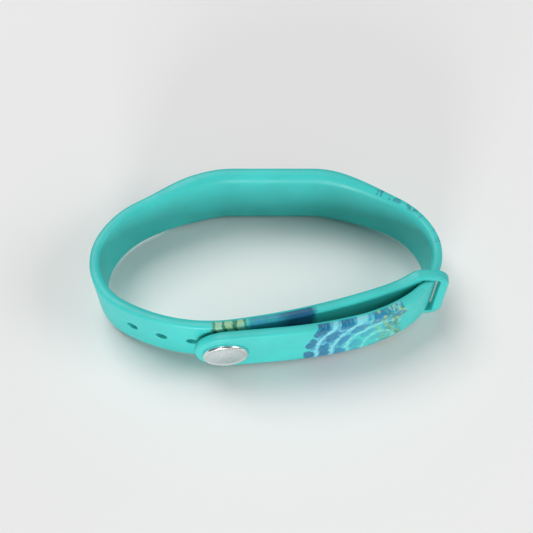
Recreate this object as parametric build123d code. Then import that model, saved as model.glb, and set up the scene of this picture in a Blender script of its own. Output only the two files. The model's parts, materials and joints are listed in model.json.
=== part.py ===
"""Fitness tracker band, buckled: one silicone band with a capsule tracker in its pocket and a stud clasp.

Millimetres. +Z is up, across the band's width, and the band stands on its lower edge at z = 0. +X is to the
right and +Y is away from the wearer's clasp, through the pocket. Everything is drawn about mid-height
and lifted at the end, so that the origin is at the middle of the object's footprint.
"""

from build123d import *
import math
import os

# ---- the band -----------------------------------------------------------------------------------
POCKET_HEIGHT = 16.8  # the band's width at the pocket and at the keeper loop, along Z
STRAP_HEIGHT = 14.0  # the band's width along both straps
STRAP_THICK = 2.3
RIM_THICK = 3.4  # the band's thickness at the pocket
SKIN_WALL = 0.7  # silicone between the tracker and the wrist
SKIN_START = (1.02, 16.02)  # middle of the pocket's skin face
POCKET_LIP = 1.5  # silicone round the tracker's outline
POCKET_LIP_BASE = 0.2  # the lip starts this far from the skin face
LIP_CROWN = 110.0  # radius of the lip's outer face along the band
POCKET_FULL_HALF = 12.0  # the pocket keeps its full height this far each side of its middle
POCKET_TAPER_HALF = 28.0  # and has come down to the straps' width here
RIM_FULL_HALF = 16.0  # it keeps its full thickness this far

# A strap is a chain of tangent legs on its skin side, starting at SKIN_START. A leg is (radius, degrees);
# radius 0 marks a straight leg, and its second number is then its length. Negative degrees bend back.
POCKET_LEFT = [(0, 8.55), (21.0, 13.4), (60.6, 15.0)]
HOLE_STRAP = [(17.0, 35.8), (10.8, 85.8), (35.9, 38.1), (158.0, 13.3)]
POCKET_RIGHT = [(0, 8.55), (19.0, 12.9), (57.3, 14.0)]
STUD_STRAP = [(14.9, 37.6), (10.3, 46.2), (13.5, 35.3), (34.0, 19.3), (96.7, 4.7)]
STUD_STRAP_TIP = [(96.7, 4.7), (0, 12.1), (38.5, 9.3)]

HOLE_RADIUS = 1.7
HOLE_PITCH = 6.3
HOLES_TOWARDS_POCKET = 3
HOLES_TOWARDS_LOOP = 3
STUD_HOLE_AT = 48.35  # along the hole strap, from the pocket, to the hole that the stud is in

KEEPER_LOOP = [(0, 1.9), (7.0, -24.0), (0, 4.8)]
LOOP_FLARE = 2.3  # the loop reaches its full height this far from the strap's end
LOOP_SLOT = (6.7, 1.65)  # the slot's two ends, back from the loop's free end
LOOP_SLOT_HEIGHT = 14.3
LOOP_SLOT_CORNER = 0.8
LOOP_CORNER = 3.2

# ---- the clasp ----------------------------------------------------------------------------------
HINGE_CLEARANCE = 0.25
STUD_FROM_HINGE = 20.03  # along the tip's skin side
TIP_ROUND_OFFSET = 0.8  # centre of the tip's round end, from the stud towards the hinge
CAP_RADIUS = 4.75
CAP_THICK = 1.0
CAP_EDGE = 0.55
CAP_SEAT = 0.25  # the cap is let this far into the strap
STEM_RADIUS = 0.8
FLANGE_RADIUS = 2.5
FLANGE_THICK = 0.6
POST_RADIUS = 1.1
POST_HEAD_RADIUS = 1.3
POST_HEAD_THICK = 1.1
POST_HEAD_EDGE = 0.4
STRAP_GAP = 0.3  # between the two straps at the stud
RIVET_CLEARANCE = 0.05

# ---- the tracker capsule, drawn flat: x along it, y across it, z from the skin side outwards ---------
CAPSULE_LENGTH = 34.0
CAPSULE_WIDTH = 12.4
CAPSULE_THICK = 5.85
CROWN_ACROSS = 9.0  # radius of the domed face across the capsule
CROWN_ALONG = 70.0  # and along it
CAPSULE_EDGE = 1.2
CAPSULE_GAP = 0.2  # between the capsule and the pocket's walls
FLOOR_GAP = 0.05
HOUSING_WALL = 0.9
HOUSING_FLOOR = 0.8
SPLIT = 2.5  # height of the joint between the two housings
CEILING = 1.2  # depth of the upper housing's inner face below the crown
SEAL_WIDTH = 0.2
SEAL_INSET = 0.35  # from the capsule's outline
SEAL_DEPTH = 0.15  # into each housing
SEAL_CLEARANCE = 0.05

LENS_LENGTH = 28.4
LENS_WIDTH = 8.8
LENS_THICK = 0.65
LENS_GAP = 0.1
ADHESIVE_THICK = 0.15
ADHESIVE_WIDTH = 0.7
WINDOW_LENGTH = 26.0
WINDOW_WIDTH = 7.0
TOUCH_PAD_RADIUS = 1.8
TOUCH_PAD_AT = 10.6
TOUCH_PAD_THICK = 0.12

BOARD_SIZE = (26.0, 8.6)
BOARD_BOTTOM = 2.3
BOARD_THICK = 0.45
BOARD_TOP = BOARD_BOTTOM + BOARD_THICK
# Chips on the board's top: (length, width, height, place along, place across)
ACCELEROMETER = (2.0, 2.0, 0.6, 11.0, 0.0)
CHARGER = (1.8, 1.8, 0.4, -11.2, 0.9)
CRYSTAL = (1.6, 1.0, 0.35, -11.2, -1.4)
SHIELD_MIDDLE = 3.15
SHIELD_SIZE = (4.4, 6.2)
SHIELD_BOTTOM = 1.35
SHIELD_WALL = 0.15
PROCESSOR_SIZE = (3.6, 5.0)
PROCESSOR_BOTTOM = 1.65

PANEL_SIZE = (15.0, 5.6)
PANEL_BOTTOM = 3.7
PANEL_TOP = 4.3
FRAME_SIZE = (16.6, 6.6)
FRAME_WINDOW = (12.0, 4.0)
FRAME_SEAT = (15.2, 5.8)
FRAME_SEAT_AT = 3.65
FRAME_BOTTOM = 3.05
FRAME_TOP = 3.9
FLEX_WIDTH = 4.0
FLEX_THICK = 0.12
FLEX_GAP = 0.05
FLEX_NOTCH = (1.4, 4.3)
FLEX_NOTCH_AT = -8.1

BATTERY_SIZE = (13.6, 8.0)
BATTERY_MIDDLE = -6.4
BATTERY_BOTTOM = 0.95
BATTERY_TOP = 2.2
BATTERY_EDGE = 0.4
TAPE_SIZE = (12.6, 6.8)
ANTENNA_SIZE = (31.8, 10.2)
ANTENNA_WALL = 0.2
ANTENNA_HEIGHTS = (0.95, 2.15)
ANTENNA_FROM = 8.5  # it runs round the capsule's end from here

CONTACT_OFFSET = 3.9
CONTACT_RADIUS = 0.7
CONTACT_CLEARANCE = 0.05
SPRING_RADIUS = 0.45
SPRING_BORE = 0.25
MOTOR_MIDDLE = 9.3
MOTOR_RADIUS = 3.5
MOTOR_WALL = 0.15
MOTOR_BOTTOM = 0.85
MOTOR_TOP = 2.25
ROTOR_RADIUS = 3.05
ROTOR_HUB_RADIUS = 1.0
SHAFT_RADIUS = 0.4
SHAFT_CLEARANCE = 0.05

REACH = 60.0  # longer than anything that a cutting shape goes through


# ---- lines along the straps ---------------------------------------------------------------------
def walk(start, heading, legs, side, offset=0.0):
    """Edges along legs, moved outwards by offset. side is 1 for a strap that bends left, -1 for right."""
    turned = math.radians(heading)
    point = Vector(*start) + Vector(math.sin(turned), -math.cos(turned)) * side * offset
    edges = []
    for radius, amount in legs:
        tangent = Vector(math.cos(turned), math.sin(turned))
        if radius:
            edges.append(JernArc(point, tangent, radius + math.copysign(offset, amount), side * amount))
            turned += math.radians(side * amount)
        else:
            edges.append(Line(point, point + tangent * amount))
        point = edges[-1] @ 1
    return edges, (point.X, point.Y), math.degrees(turned)


def leg_length(leg):
    radius, amount = leg
    return radius * math.radians(abs(amount)) if radius else amount


def shorten(legs, distance):
    """The part of legs within a distance of their start."""
    kept = []
    for radius, amount in legs:
        length = leg_length((radius, amount))
        share = min(1.0, distance / length)
        kept.append((radius, amount * share))
        distance -= length
        if distance <= 0:
            return kept
    return kept


def face_plane(start, heading, side):
    """A plane on the skin face: its x runs along the strap and its z points outwards."""
    turned = math.radians(heading)
    along = Vector(math.cos(turned), math.sin(turned), 0)
    outwards = Vector(math.sin(turned), -math.cos(turned), 0) * side
    return Plane(origin=(start[0], start[1], 0), x_dir=along, z_dir=outwards)


def plane_at(start, heading, legs, side, distance):
    _, point, turned = walk(start, heading, shorten(legs, distance), side)
    return face_plane(point, turned, side)


def strap_face(start, heading, legs, side):
    inner, inner_end, _ = walk(start, heading, legs, side)
    outer, outer_end, _ = walk(start, heading, legs, side, STRAP_THICK)
    ends = [Line(inner[0] @ 0, outer[0] @ 0), Line(inner_end, outer_end)]
    return make_face(inner + outer + ends)


def strap_solid(start, heading, legs, side, height=STRAP_HEIGHT):
    return extrude(strap_face(start, heading, legs, side), height / 2, both=True)


_, LEFT_END, LEFT_HEADING = walk(SKIN_START, 180, POCKET_LEFT, 1)
_, RIGHT_END, RIGHT_HEADING = walk(SKIN_START, 0, POCKET_RIGHT, -1)
_, LOOP_START, LOOP_HEADING = walk(LEFT_END, LEFT_HEADING, HOLE_STRAP, 1)
_, LOOP_END, LOOP_END_HEADING = walk(LOOP_START, LOOP_HEADING, KEEPER_LOOP, 1)
_, HINGE_SKIN, HINGE_HEADING = walk(RIGHT_END, RIGHT_HEADING, STUD_STRAP, -1)
HINGE_PLANE = face_plane(HINGE_SKIN, HINGE_HEADING, -1)
HINGE = HINGE_PLANE.origin + HINGE_PLANE.z_dir * STRAP_THICK / 2
STUD_PLANE = plane_at(HINGE_SKIN, HINGE_HEADING, STUD_STRAP_TIP, -1, STUD_FROM_HINGE)


# ---- the band's pieces --------------------------------------------------------------------------
def pocket_side(inner_start, heading, legs, side):
    """Half of the pocket's plan: skin line, end, and an outer line easing from rim to strap thickness."""
    inner, inner_end, turned = walk(inner_start, heading, legs, side)
    outer_end = offset_point(inner_end, turned, side, STRAP_THICK)
    along = math.cos(math.radians(heading))
    ease_start = Vector(inner_start[0] + along * RIM_FULL_HALF, inner_start[1] + RIM_THICK)
    end_tangent = (math.cos(math.radians(turned)), math.sin(math.radians(turned)))
    outer = Spline([ease_start, Vector(*outer_end)], tangents=[(along, 0), end_tangent])
    return inner + [Line(inner_end, outer_end), outer], ease_start


def offset_point(point, heading, side, distance):
    turned = math.radians(heading)
    return (
        point[0] + side * distance * math.sin(turned),
        point[1] - side * distance * math.cos(turned),
    )


def pocket_height_profile():
    """The pocket seen from outside: full height in the middle, easing to the straps' width."""
    full, strap = POCKET_HEIGHT / 2, STRAP_HEIGHT / 2
    end = 2 * POCKET_TAPER_HALF
    corners = []
    for x, z in ((1, 1), (1, -1), (-1, -1), (-1, 1)):
        far = Vector(x * POCKET_TAPER_HALF, z * strap)
        near = Vector(x * POCKET_FULL_HALF, z * full)
        corners.append(Spline([near, far], tangents=[(x, 0), (x, 0)]))
        corners.append(Line(far, (x * end, z * strap)))
    straights = [
        Line((-POCKET_FULL_HALF, full), (POCKET_FULL_HALF, full)),
        Line((-POCKET_FULL_HALF, -full), (POCKET_FULL_HALF, -full)),
        Line((end, strap), (end, -strap)),
        Line((-end, strap), (-end, -strap)),
    ]
    return make_face(corners + straights)


def pill(length, width, bottom, top):
    return Pos(0, 0, bottom) * extrude(SlotOverall(length, width), top - bottom)


def on_pocket(shape, lift=0.0):
    """Stands a shape that was drawn flat in the pocket: its z becomes +Y, from the skin face."""
    return Pos(SKIN_START[0], SKIN_START[1] + lift, 0) * Rot(-90, 0, 0) * shape


def band_pocket():
    left, left_ease = pocket_side(SKIN_START, 180, POCKET_LEFT, 1)
    right, right_ease = pocket_side(SKIN_START, 0, POCKET_RIGHT, -1)
    plan = extrude(make_face(left + right + [Line(left_ease, right_ease)]), POCKET_HEIGHT, both=True)
    front = on_pocket(extrude(pocket_height_profile(), REACH, both=True))
    length = CAPSULE_LENGTH + 2 * CAPSULE_GAP
    width = CAPSULE_WIDTH + 2 * CAPSULE_GAP
    lip = pill(length + 2 * POCKET_LIP, width + 2 * POCKET_LIP, POCKET_LIP_BASE, RIM_THICK)
    lip &= Pos(0, 0, RIM_THICK - LIP_CROWN) * Rot(90, 0, 0) * Cylinder(LIP_CROWN, REACH)
    cavity = pill(length, width, SKIN_WALL, RIM_THICK + 1)
    return (plan & front) + on_pocket(lip) - on_pocket(cavity)


def hole_strap():
    strap = strap_solid(LEFT_END, LEFT_HEADING, HOLE_STRAP, 1)
    bore = Cylinder(HOLE_RADIUS, 4 * STRAP_THICK)
    for index in range(-HOLES_TOWARDS_POCKET, HOLES_TOWARDS_LOOP + 1):
        distance = STUD_HOLE_AT + index * HOLE_PITCH
        plane = plane_at(LEFT_END, LEFT_HEADING, HOLE_STRAP, 1, distance)
        strap -= plane * bore
    return strap


def keeper_loop():
    """Flares out of the hole strap and bends back a little. The stud strap comes out through its slot."""
    full, strap = POCKET_HEIGHT / 2, STRAP_HEIGHT / 2
    flare = make_face(
        Polyline(
            (0, strap),
            (LOOP_FLARE, full),
            (REACH, full),
            (REACH, -full),
            (LOOP_FLARE, -full),
            (0, -strap),
            close=True,
        )
    )
    end = Pos(-REACH / 2, 0) * Rectangle(REACH, POCKET_HEIGHT)
    end = fillet(end.vertices().group_by(Axis.X)[-1], LOOP_CORNER)
    near, far = LOOP_SLOT
    slot = Pos(-(near + far) / 2, 0) * RectangleRounded(near - far, LOOP_SLOT_HEIGHT, LOOP_SLOT_CORNER)
    loop = strap_solid(LOOP_START, LOOP_HEADING, KEEPER_LOOP, 1, POCKET_HEIGHT)
    loop &= face_plane(LOOP_START, LOOP_HEADING, 1) * extrude(flare, REACH, both=True)
    end_plane = face_plane(LOOP_END, LOOP_END_HEADING, 1)
    return loop & end_plane * extrude(end - slot, 2 * STRAP_THICK, both=True)


def stud_strap():
    strap = strap_solid(RIGHT_END, RIGHT_HEADING, STUD_STRAP, -1)
    clear = Cylinder(STRAP_THICK / 2 + HINGE_CLEARANCE, 2 * STRAP_HEIGHT)
    return strap - Pos(HINGE.X, HINGE.Y, 0) * clear


def stud_strap_tip():
    strap = strap_solid(HINGE_SKIN, HINGE_HEADING, STUD_STRAP_TIP, -1)
    strap += Pos(HINGE.X, HINGE.Y, 0) * Cylinder(STRAP_THICK / 2, STRAP_HEIGHT)
    reach = STUD_FROM_HINGE + STRAP_THICK
    outline = Pos(-TIP_ROUND_OFFSET, 0) * Circle(STRAP_HEIGHT / 2)
    outline += Pos(-TIP_ROUND_OFFSET - reach / 2, 0) * Rectangle(reach, STRAP_HEIGHT)
    strap &= STUD_PLANE * extrude(outline, REACH, both=True)
    sleeve = Cylinder(POST_RADIUS + RIVET_CLEARANCE, 4 * STRAP_THICK)
    recess = Cylinder(FLANGE_RADIUS + RIVET_CLEARANCE, 2 * (FLANGE_THICK + RIVET_CLEARANCE))
    seat = Cylinder(CAP_RADIUS + RIVET_CLEARANCE, 2 * CAP_SEAT)
    strap -= STUD_PLANE * Pos(0, 0, STRAP_THICK) * seat
    return strap - STUD_PLANE * sleeve - STUD_PLANE * recess


def stud_cap():
    """The visible button: a disc with a rounded edge, and a stem pressed into the post."""
    seat = STRAP_THICK - CAP_SEAT + RIVET_CLEARANCE
    disc = Cylinder(CAP_RADIUS, CAP_THICK, align=(Align.CENTER, Align.CENTER, Align.MIN))
    disc = fillet(disc.edges().group_by(Axis.Z)[-1], CAP_EDGE)
    stem_length = seat - FLANGE_THICK
    stem = Cylinder(STEM_RADIUS, stem_length, align=(Align.CENTER, Align.CENTER, Align.MIN))
    return STUD_PLANE * (Pos(0, 0, seat) * disc + Pos(0, 0, FLANGE_THICK) * stem)


def stud_post():
    """Sleeve round the stem, flange let into the strap's skin face, neck and head towards the wrist."""
    neck = STRAP_GAP + STRAP_THICK
    upright = (Align.CENTER, Align.CENTER, Align.MIN)
    post = Cylinder(FLANGE_RADIUS, FLANGE_THICK, align=upright)
    sleeve_length = STRAP_THICK - CAP_SEAT - FLANGE_THICK
    sleeve = Cylinder(POST_RADIUS, sleeve_length, align=upright)
    sleeve -= Cylinder(STEM_RADIUS + RIVET_CLEARANCE, sleeve_length, align=upright)
    post += Pos(0, 0, FLANGE_THICK) * sleeve
    post += Pos(0, 0, -neck) * Cylinder(POST_RADIUS, neck, align=upright)
    head = Cylinder(POST_HEAD_RADIUS, POST_HEAD_THICK, align=upright)
    head = fillet(head.edges().group_by(Axis.Z)[0], POST_HEAD_EDGE)
    post += Pos(0, 0, -neck - POST_HEAD_THICK) * head
    return STUD_PLANE * post


# ---- the capsule's pieces -----------------------------------------------------------------------
def crown(depth):
    """A solid whose top is the capsule's domed face, or a surface that deep below it."""
    ring = Torus(CROWN_ALONG - CROWN_ACROSS, CROWN_ACROSS - depth)
    return Pos(0, 0, CAPSULE_THICK - CROWN_ALONG) * Rot(90, 0, 0) * ring


def ring_pill(length, width, wall, bottom, top):
    return pill(length, width, bottom, top) - pill(length - 2 * wall, width - 2 * wall, bottom, top)


def block(length, width, bottom, top, x=0.0, y=0.0):
    return Pos(x, y, (bottom + top) / 2) * Box(length, width, top - bottom)


def round_bar(radius, bottom, top, x=0.0, y=0.0):
    return Pos(x, y, (bottom + top) / 2) * Cylinder(radius, top - bottom)


def capsule_body():
    body = pill(CAPSULE_LENGTH, CAPSULE_WIDTH, 0, CAPSULE_THICK)
    body = fillet(body.edges().group_by(Axis.Z)[0], CAPSULE_EDGE)
    return body & crown(0)


def cavity():
    """Straight walls up to the split, then a roof that follows the domed face."""
    length, width = CAPSULE_LENGTH - 2 * HOUSING_WALL, CAPSULE_WIDTH - 2 * HOUSING_WALL
    roof = pill(length, width, HOUSING_FLOOR, CAPSULE_THICK) & crown(CEILING)
    return pill(length, width, HOUSING_FLOOR, SPLIT) + roof


def seal_groove(clearance):
    grow = 2 * clearance
    length = CAPSULE_LENGTH - 2 * SEAL_INSET + grow
    width = CAPSULE_WIDTH - 2 * SEAL_INSET + grow
    depth = SEAL_DEPTH + clearance
    return ring_pill(length, width, SEAL_WIDTH + grow, SPLIT - depth, SPLIT + depth)


def lower_housing():
    below = block(REACH, REACH, -1, SPLIT)
    shell = (capsule_body() & below) - cavity() - seal_groove(SEAL_CLEARANCE)
    for side in (-1, 1):
        shell -= round_bar(CONTACT_RADIUS + CONTACT_CLEARANCE, -1, 1, SHIELD_MIDDLE, side * CONTACT_OFFSET)
    return shell


def upper_housing():
    above = block(REACH, REACH, SPLIT, REACH)
    recess = pill(LENS_LENGTH + 2 * LENS_GAP, LENS_WIDTH + 2 * LENS_GAP, 0, REACH)
    recess -= crown(LENS_THICK + ADHESIVE_THICK)
    window = pill(WINDOW_LENGTH, WINDOW_WIDTH, 0, REACH)
    return (capsule_body() & above) - cavity() - seal_groove(SEAL_CLEARANCE) - recess - window


def lens():
    return (pill(LENS_LENGTH, LENS_WIDTH, 0, REACH) & crown(0)) - crown(LENS_THICK)


def lens_adhesive():
    frame = ring_pill(LENS_LENGTH, LENS_WIDTH, ADHESIVE_WIDTH, 0, REACH)
    return (frame & crown(LENS_THICK)) - crown(LENS_THICK + ADHESIVE_THICK)


def touch_pad():
    disc = round_bar(TOUCH_PAD_RADIUS, 0, REACH, TOUCH_PAD_AT)
    return (disc & crown(LENS_THICK)) - crown(LENS_THICK + TOUCH_PAD_THICK)


def display_frame():
    frame = block(*FRAME_SIZE, FRAME_BOTTOM, FRAME_TOP)
    frame -= block(*FRAME_WINDOW, FRAME_BOTTOM - 1, FRAME_TOP + 1)
    frame -= block(*FRAME_SEAT, FRAME_SEAT_AT, FRAME_TOP + 1)
    return frame - block(*FLEX_NOTCH, FRAME_BOTTOM - 1, FRAME_TOP + 1, FLEX_NOTCH_AT)


def display_panel():
    return block(*PANEL_SIZE, PANEL_BOTTOM, PANEL_TOP)


def display_flex():
    """Thin strip from the panel's end, through the frame's notch, down to the main board."""
    start = PANEL_BOTTOM + FLEX_GAP
    run = Polyline((-7.5, start), (-7.9, start), (-8.6, BOARD_TOP), (-10.0, BOARD_TOP))
    back = Polyline(
        (-7.5, start + FLEX_THICK),
        (-7.95, start + FLEX_THICK),
        (-8.55, BOARD_TOP + FLEX_THICK),
        (-10.0, BOARD_TOP + FLEX_THICK),
    )
    ends = [Line(run @ 0, back @ 0), Line(run @ 1, back @ 1)]
    strip = extrude(make_face([run, back] + ends), FLEX_WIDTH / 2, both=True)
    return Rot(90, 0, 0) * strip


def main_board():
    return pill(*BOARD_SIZE, BOARD_BOTTOM, BOARD_TOP)


def processor_chip():
    return block(*PROCESSOR_SIZE, PROCESSOR_BOTTOM, BOARD_BOTTOM, SHIELD_MIDDLE)


def shield_can():
    length, width = SHIELD_SIZE
    can = block(length, width, SHIELD_BOTTOM, BOARD_BOTTOM, SHIELD_MIDDLE)
    inside = (length - 2 * SHIELD_WALL, width - 2 * SHIELD_WALL)
    return can - block(*inside, SHIELD_BOTTOM + SHIELD_WALL, BOARD_BOTTOM, SHIELD_MIDDLE)


def board_top_chip(length, width, height, x, y):
    return block(length, width, BOARD_TOP, BOARD_TOP + height, x, y)


def antenna():
    strip = ring_pill(*ANTENNA_SIZE, ANTENNA_WALL, *ANTENNA_HEIGHTS)
    return strip & block(REACH, REACH, 0, REACH, ANTENNA_FROM + REACH / 2)


def battery():
    cell = block(*BATTERY_SIZE, BATTERY_BOTTOM, BATTERY_TOP, BATTERY_MIDDLE)
    return fillet(cell.edges().filter_by(Axis.X), BATTERY_EDGE)


def battery_tape():
    return block(*TAPE_SIZE, HOUSING_FLOOR, BATTERY_BOTTOM, BATTERY_MIDDLE)


def motor_case():
    cup = round_bar(MOTOR_RADIUS, MOTOR_BOTTOM, MOTOR_TOP - MOTOR_WALL, MOTOR_MIDDLE)
    return cup - round_bar(MOTOR_RADIUS - MOTOR_WALL, MOTOR_BOTTOM + MOTOR_WALL, MOTOR_TOP, MOTOR_MIDDLE)


def motor_cover():
    return round_bar(MOTOR_RADIUS, MOTOR_TOP - MOTOR_WALL, MOTOR_TOP, MOTOR_MIDDLE)


def motor_shaft():
    return round_bar(SHAFT_RADIUS, MOTOR_BOTTOM + MOTOR_WALL, MOTOR_TOP - MOTOR_WALL, MOTOR_MIDDLE)


def motor_rotor():
    """Half a disc on a hub, so that it shakes the capsule when it turns."""
    bottom, top = MOTOR_BOTTOM + 2 * MOTOR_WALL, MOTOR_TOP - 2 * MOTOR_WALL
    half = block(2 * ROTOR_RADIUS, ROTOR_RADIUS, bottom, top, MOTOR_MIDDLE, ROTOR_RADIUS / 2)
    weight = round_bar(ROTOR_RADIUS, bottom, top, MOTOR_MIDDLE) & half
    hub = round_bar(ROTOR_HUB_RADIUS, bottom, top, MOTOR_MIDDLE)
    return weight + hub - round_bar(SHAFT_RADIUS + SHAFT_CLEARANCE, 0, MOTOR_TOP, MOTOR_MIDDLE)


def contact_pair(radius, bottom, top):
    bars = [round_bar(radius, bottom, top, SHIELD_MIDDLE, side * CONTACT_OFFSET) for side in (-1, 1)]
    return bars[0] + bars[1]


def charging_contacts():
    return contact_pair(CONTACT_RADIUS, 0, MOTOR_BOTTOM)


def contact_springs():
    springs = contact_pair(SPRING_RADIUS, MOTOR_BOTTOM, BOARD_BOTTOM)
    return springs - contact_pair(SPRING_BORE, MOTOR_BOTTOM, BOARD_BOTTOM)


BAND_PIECES = {
    "band_pocket": band_pocket,
    "hole_strap": hole_strap,
    "keeper_loop": keeper_loop,
    "stud_strap": stud_strap,
    "stud_strap_tip": stud_strap_tip,
    "stud_cap": stud_cap,
    "stud_post": stud_post,
}

CAPSULE_PIECES = {
    "lower_housing": lower_housing(),
    "upper_housing": upper_housing(),
    "housing_seal": seal_groove(0.0),
    "lens": lens(),
    "lens_adhesive": lens_adhesive(),
    "touch_pad": touch_pad(),
    "display_panel": display_panel(),
    "display_frame": display_frame(),
    "display_flex": display_flex(),
    "main_board": main_board(),
    "processor_chip": processor_chip(),
    "shield_can": shield_can(),
    "accelerometer_chip": board_top_chip(*ACCELEROMETER),
    "charger_chip": board_top_chip(*CHARGER),
    "crystal": board_top_chip(*CRYSTAL),
    "antenna": antenna(),
    "battery": battery(),
    "battery_tape": battery_tape(),
    "motor_case": motor_case(),
    "motor_cover": motor_cover(),
    "motor_shaft": motor_shaft(),
    "motor_rotor": motor_rotor(),
    "charging_contacts": charging_contacts(),
    "contact_springs": contact_springs(),
}


def main():
    os.makedirs("parts", exist_ok=True)
    pieces = {name: make() for name, make in BAND_PIECES.items()}
    for name, piece in CAPSULE_PIECES.items():
        pieces[name] = on_pocket(piece, SKIN_WALL + FLOOR_GAP)
    lift = Pos(0, 0, POCKET_HEIGHT / 2)
    for name, piece in pieces.items():
        export_step(lift * piece, f"parts/{name}.step")
    boxes = [(lift * piece).bounding_box() for piece in pieces.values()]
    low = [min(getattr(box.min, axis) for box in boxes) for axis in "XYZ"]
    high = [max(getattr(box.max, axis) for box in boxes) for axis in "XYZ"]
    print("box", [round(v, 3) for v in low], [round(v, 3) for v in high])
    print("footprint middle", [round((low[i] + high[i]) / 2, 3) for i in (0, 1)])
    stud = STUD_PLANE.origin
    hole = plane_at(LEFT_END, LEFT_HEADING, HOLE_STRAP, 1, STUD_HOLE_AT)
    gap = (stud - hole.origin).dot(STUD_PLANE.z_dir) - STRAP_THICK
    along = (hole.origin - stud).dot(STUD_PLANE.x_dir)
    lean = hole.z_dir.get_angle(STUD_PLANE.z_dir)
    print(f"stud to hole: gap {gap:.3f}, along {along:.3f}, lean {lean:.2f}")
    print("hinge", [round(v, 3) for v in (HINGE.X, HINGE.Y)], "heading", round(HINGE_HEADING, 2))
    print("loop end", [round(v, 3) for v in LOOP_END], "heading", round(LOOP_END_HEADING, 2))


main()
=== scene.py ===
"""A buckled fitness tracker band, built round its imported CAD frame.

Places and sizes are in millimetres, in the frame's own axes, until they go to Blender in metres.
"""

import bpy
import json
import math
import numpy as np
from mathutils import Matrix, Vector
from mathutils.geometry import delaunay_2d_cdt


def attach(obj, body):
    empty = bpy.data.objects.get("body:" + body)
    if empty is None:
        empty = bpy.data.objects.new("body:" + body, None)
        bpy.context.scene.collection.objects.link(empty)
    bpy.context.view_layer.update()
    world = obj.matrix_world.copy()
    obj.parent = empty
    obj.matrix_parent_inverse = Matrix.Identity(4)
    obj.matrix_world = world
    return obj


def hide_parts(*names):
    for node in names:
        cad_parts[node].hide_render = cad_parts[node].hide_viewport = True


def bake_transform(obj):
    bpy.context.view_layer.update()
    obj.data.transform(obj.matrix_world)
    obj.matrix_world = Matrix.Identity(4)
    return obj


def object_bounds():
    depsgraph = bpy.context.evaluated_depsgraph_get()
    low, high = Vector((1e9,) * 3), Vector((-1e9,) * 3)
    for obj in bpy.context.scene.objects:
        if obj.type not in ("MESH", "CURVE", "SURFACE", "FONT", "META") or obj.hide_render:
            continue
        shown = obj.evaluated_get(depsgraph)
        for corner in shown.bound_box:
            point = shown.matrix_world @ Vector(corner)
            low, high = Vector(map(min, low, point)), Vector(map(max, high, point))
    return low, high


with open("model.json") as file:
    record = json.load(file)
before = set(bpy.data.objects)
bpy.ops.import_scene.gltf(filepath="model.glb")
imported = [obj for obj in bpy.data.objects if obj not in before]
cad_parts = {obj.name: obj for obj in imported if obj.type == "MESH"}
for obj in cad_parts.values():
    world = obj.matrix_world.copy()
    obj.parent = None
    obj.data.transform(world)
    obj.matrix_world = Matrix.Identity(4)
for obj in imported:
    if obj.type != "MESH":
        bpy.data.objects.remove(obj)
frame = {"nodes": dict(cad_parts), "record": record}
cad_low, cad_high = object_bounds()

MM = 0.001

# ---- the band, as in the CAD model but for the keeper loop and the free holes ----
MIDDLE = (cad_low.z + cad_high.z) / 2 / MM  # height of the band's middle plane
SKIN_START = (1.02, 16.02)  # middle of the pocket's skin face
STRAP_THICK = 2.3
STRAP_HALF = 7.0
RIM_THICK = 3.4
RIM_HALF = 8.4
POCKET_FULL = 12.0  # the pocket keeps its full width this far each side of its middle
POCKET_TAPER = 28.0  # and has come down to the straps' width here
RIM_FULL = (17.0, 10.0)  # it keeps its full thickness this far, towards the hole strap and the stud strap
RIM_TAPER = 30.0
# Legs of the skin line from the pocket's middle: (radius, degrees), or (0, length) where it is straight.
# Negative degrees bend back.
LEFT_LEGS = [(0, 8.55), (21.0, 13.4), (60.6, 15.0), (17.0, 35.8), (10.8, 85.8), (35.9, 38.1), (158.0, 13.3)]
RIGHT_LEGS = [
    (0, 8.55), (19.0, 12.9), (57.3, 14.0), (14.9, 37.6), (10.3, 46.2), (13.5, 35.3), (34.0, 19.3),
    (96.7, 9.4), (0, 12.1), (38.5, 12.0),
]
LOOP_LEGS = [(0, 1.9), (7.0, -24.0), (0, 5.0)]  # follow the left legs
LOOP_FLARE = (-1.6, 2.8)  # from and to, along the band from the loop's start
LOOP_CORNER = 3.2
LOOP_SLOT = (6.45, 1.9)  # back from the loop's free end
SLOT_HALF = 7.15
SLOT_CORNER = 0.8
HOLE_RADIUS = 1.7  # where the stud goes through
FREE_HOLE_RADIUS = 1.15  # relaxed
HOLE_PITCH = 6.3
STUD_HOLE_AT = 77.67  # along the left legs
# Each hole's place and radius: three on each side of the stud's.
HOLES = [(STUD_HOLE_AT + HOLE_PITCH * k, FREE_HOLE_RADIUS if k else HOLE_RADIUS) for k in range(-3, 4)]
STUD_AT = 92.6  # along the right legs
TIP_CENTRE_AT = STUD_AT - 0.8
SEAM_AT = 46.4  # the stud strap's own mesh starts here, inside the keeper loop
HINGE_AT = 72.6
BLEND_HALF = 5.0  # start and end points are worked out this far each side of the peel's hinge

# ---- the silicone's roundings ----
EDGE_ROUND = 0.75  # on the outer side
SKIN_ROUND = 1.15  # on the skin side of the straps
POCKET_SKIN_ROUND = 2.3
LOOP_ROUND = 0.6
LOOP_EASE = 5.0  # over this length the straps' rounding becomes the loop's
HOLE_ROUND = 0.25
SLOT_ROUND = 0.3
LIP_ROUND = 0.5
LIP_FLAT = 1.0  # the pocket's lip is level this far from its opening
LIP_FALL = 2.6  # and falls to the rim over this length
LIP_CROWN = 110.0  # the lip's ends drop back with this radius
POCKET_END_SLOPE = 0.5  # least share of a depth that points straight out of the pocket

# ---- the straps' meshes ----
MESH_STEP = 0.7
PATH_STEP = 0.6
FLOOR_STEP = 1.5  # on the pocket's floor
ROUND_STEPS = np.radians([0, 15, 30, 45, 60, 75, 90])
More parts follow.
